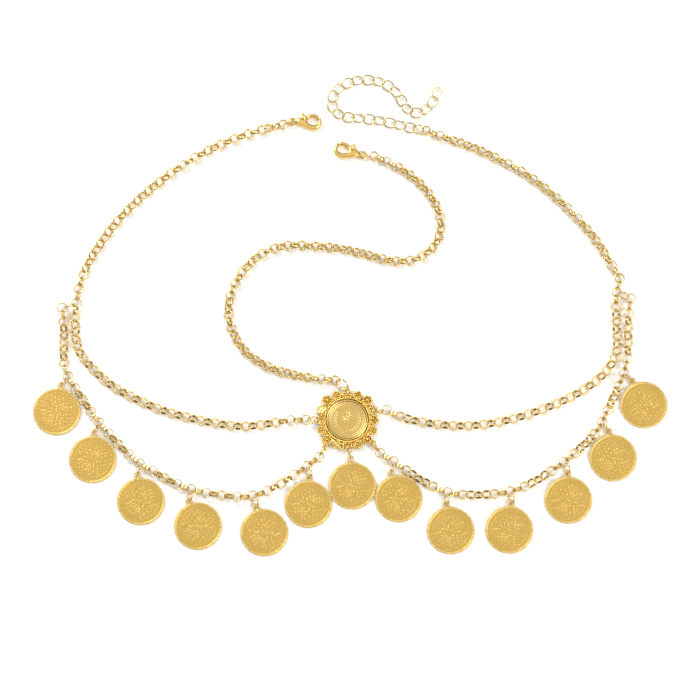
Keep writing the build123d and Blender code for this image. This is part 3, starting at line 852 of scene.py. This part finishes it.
for k in range(LOBES):
    heading = 2 * math.pi * k / LOBES
    reach = LOBE_REACH_DIAGONAL if k % 2 else LOBE_REACH_AXIS
    lobe = around(reach - LOBE_R, heading)
    gap = heading + math.pi / LOBES
    spandrel = around(SPANDREL_REACH, gap)
    # Discs under the lobe and the spandrel, darkened with painted shade.
    for middle, widest, rise in ((lobe, LOBE_DISC_R, 0.05), (spandrel, SPANDREL_R, 0.1)):
        radius = min([widest] + [math.hypot(middle[0] - x, middle[1] - y) - EYELET_HOLE_R - 0.05
                                 for x, y in EYELETS])
        if radius > 0.5:
            floor = LACE_Z + rise
            top = floor + DISC_THICK
            lathe(work, [(0.01, floor), (radius, floor), (radius, top), (0.01, top)], 24, low=DISC_PAINTED_SHADE,
                  centre=middle)
    twisted_arc(work, lobe, LOBE_R - 0.3, LACE_TOP - 0.3, heading - math.pi, heading + math.pi, 0.25, 1.3,
                EYELET_HOLE_R + 0.35)
    candidates = [lobe] + [(lobe[0] + (LOBE_R - 0.2) * math.cos(heading + math.radians(spread)),
                            lobe[1] + (LOBE_R - 0.2) * math.sin(heading + math.radians(spread)))
                           for spread in (-100, -50, 0, 50, 100)]
    ball_places += [(x, y, LACE_TOP) for x, y in candidates if clear_of_eyelets(x, y, EYELET_R + 0.25)]
    small_places += [(x, y, LACE_TOP - 0.12) for x, y in
                     ((lobe[0] + LOBE_BALLS_R * math.cos(a), lobe[1] + LOBE_BALLS_R * math.sin(a))
                      for a in (heading + math.pi * (2 * n + 1) / 6 for n in range(6)))
                     if clear_of_eyelets(x, y, EYELET_R)]
    twisted_arc(work, spandrel, SPANDREL_R, LACE_TOP - 0.3, 0, 2 * math.pi, 0.22, 1.1, EYELET_HOLE_R + 0.3)
    rim = [(spandrel[0] + SPANDREL_R * math.cos(gap + math.radians(spread)),
            spandrel[1] + SPANDREL_R * math.sin(gap + math.radians(spread))) for spread in (-70, 0, 70)]
    ball_places += [(x, y, LACE_TOP - 0.05) for x, y in rim if clear_of_eyelets(x, y, EYELET_R)]
    small_places += [(x, y, LACE_TOP - 0.15) for x, y in
                     ((spandrel[0] + GAP_BALLS_R * math.cos(a), spandrel[1] + GAP_BALLS_R * math.sin(a))
                      for a in (gap + math.pi * (2 * n + 1) / 5 for n in range(5)))
                     if clear_of_eyelets(x, y, EYELET_R)]
    small_places += [(x, y, LACE_TOP - 0.1) for x, y in (spandrel, around(9.8, gap))
                     if clear_of_eyelets(x, y, EYELET_R)]
    small_places += [(x, y, LACE_TOP - 0.05) for x, y in
                     (around(9.8, gap - 0.15), around(9.8, gap + 0.15), around(9.8, heading + 0.08),
                      around(9.8, heading - 0.08)) if clear_of_eyelets(x, y, EYELET_R - 0.3)]
balls(work, ball_places, BALL_R, filigree_gold)
balls(work, small_places, SMALL_BALL_R, filigree_gold)
for x, y in EYELETS:
    middle, half, tall = (EYELET_R + EYELET_HOLE_R) / 2, (EYELET_R - EYELET_HOLE_R) / 2, LACE_THICK / 2
    lathe(work, [(middle + half * math.cos(2 * math.pi * k / 10),
                  LACE_Z + tall + tall * math.sin(2 * math.pi * k / 10)) for k in range(10)], 28,
          centre=(x, y))
for angle in LEAVES:
    leaf(work, math.radians(angle))
lace = seat(work, Vector((0, 0, 0)), -90, 0).make("medallion_filigree")
lace.data.materials.append(filigree_gold)
wear(lace, "medallion_frame")


# The two lobster clasps.
# Zinc castings, plated: a drop-shaped claw with an eye at its tail, and a thin lever on a pin
# that springs shut. The cast edges are round, so each copy of the solid is smoothed and a
# little fuller, and lies level on the sheet.
VOXEL = 0.14 * MM
SWELL = 0.17 * MM
ROUNDS = 90


def cast_copy(node):
    """A copy of the node with the rounded edges of a casting."""
    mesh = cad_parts[node].data.copy()
    shell = bmesh.new()
    shell.from_mesh(mesh)
    bmesh.ops.remove_doubles(shell, verts=shell.verts, dist=0.001 * MM)
    bmesh.ops.recalc_face_normals(shell, faces=shell.faces)
    shell.to_mesh(mesh)
    shell.free()
    rough = new_object(node + "_cast", mesh)
    remesh = rough.modifiers.new("skin", "REMESH")
    remesh.mode = "VOXEL"
    remesh.voxel_size = VOXEL
    remesh.use_smooth_shade = True
    swell = rough.modifiers.new("swell", "DISPLACE")
    swell.mid_level = 0
    swell.strength = SWELL
    smooth = rough.modifiers.new("round", "SMOOTH")
    smooth.factor = 0.5
    smooth.iterations = ROUNDS
    bpy.context.view_layer.update()
    graph = bpy.context.evaluated_depsgraph_get()
    made = bpy.data.meshes.new_from_object(rough.evaluated_get(graph), depsgraph=graph)
    bpy.data.objects.remove(rough)
    for vertex in made.vertices:
        vertex.co.z = max(vertex.co.z, 0)
    made.materials.clear()
    made.shade_smooth()
    return new_object(node + "_cast", made)


clasp_plating = plated("clasp_plating", (0.86, 0.60, 0.19, 1), (0.60, 0.33, 0.05, 1), 0.18, 900, 0.03 * MM)
for node, body in (("clasp_body", "headpiece"), ("clasp_lever", "clasp_lever"),
                   ("crown_clasp_body", "headpiece"), ("crown_clasp_lever", "crown_clasp_lever")):
    piece = cast_copy(node)
    piece.data.materials.append(clasp_plating)
    wear(piece, node, body)
for node in ("clasp_pin", "crown_clasp_pin"):
    finish_node(node, clasp_plating)
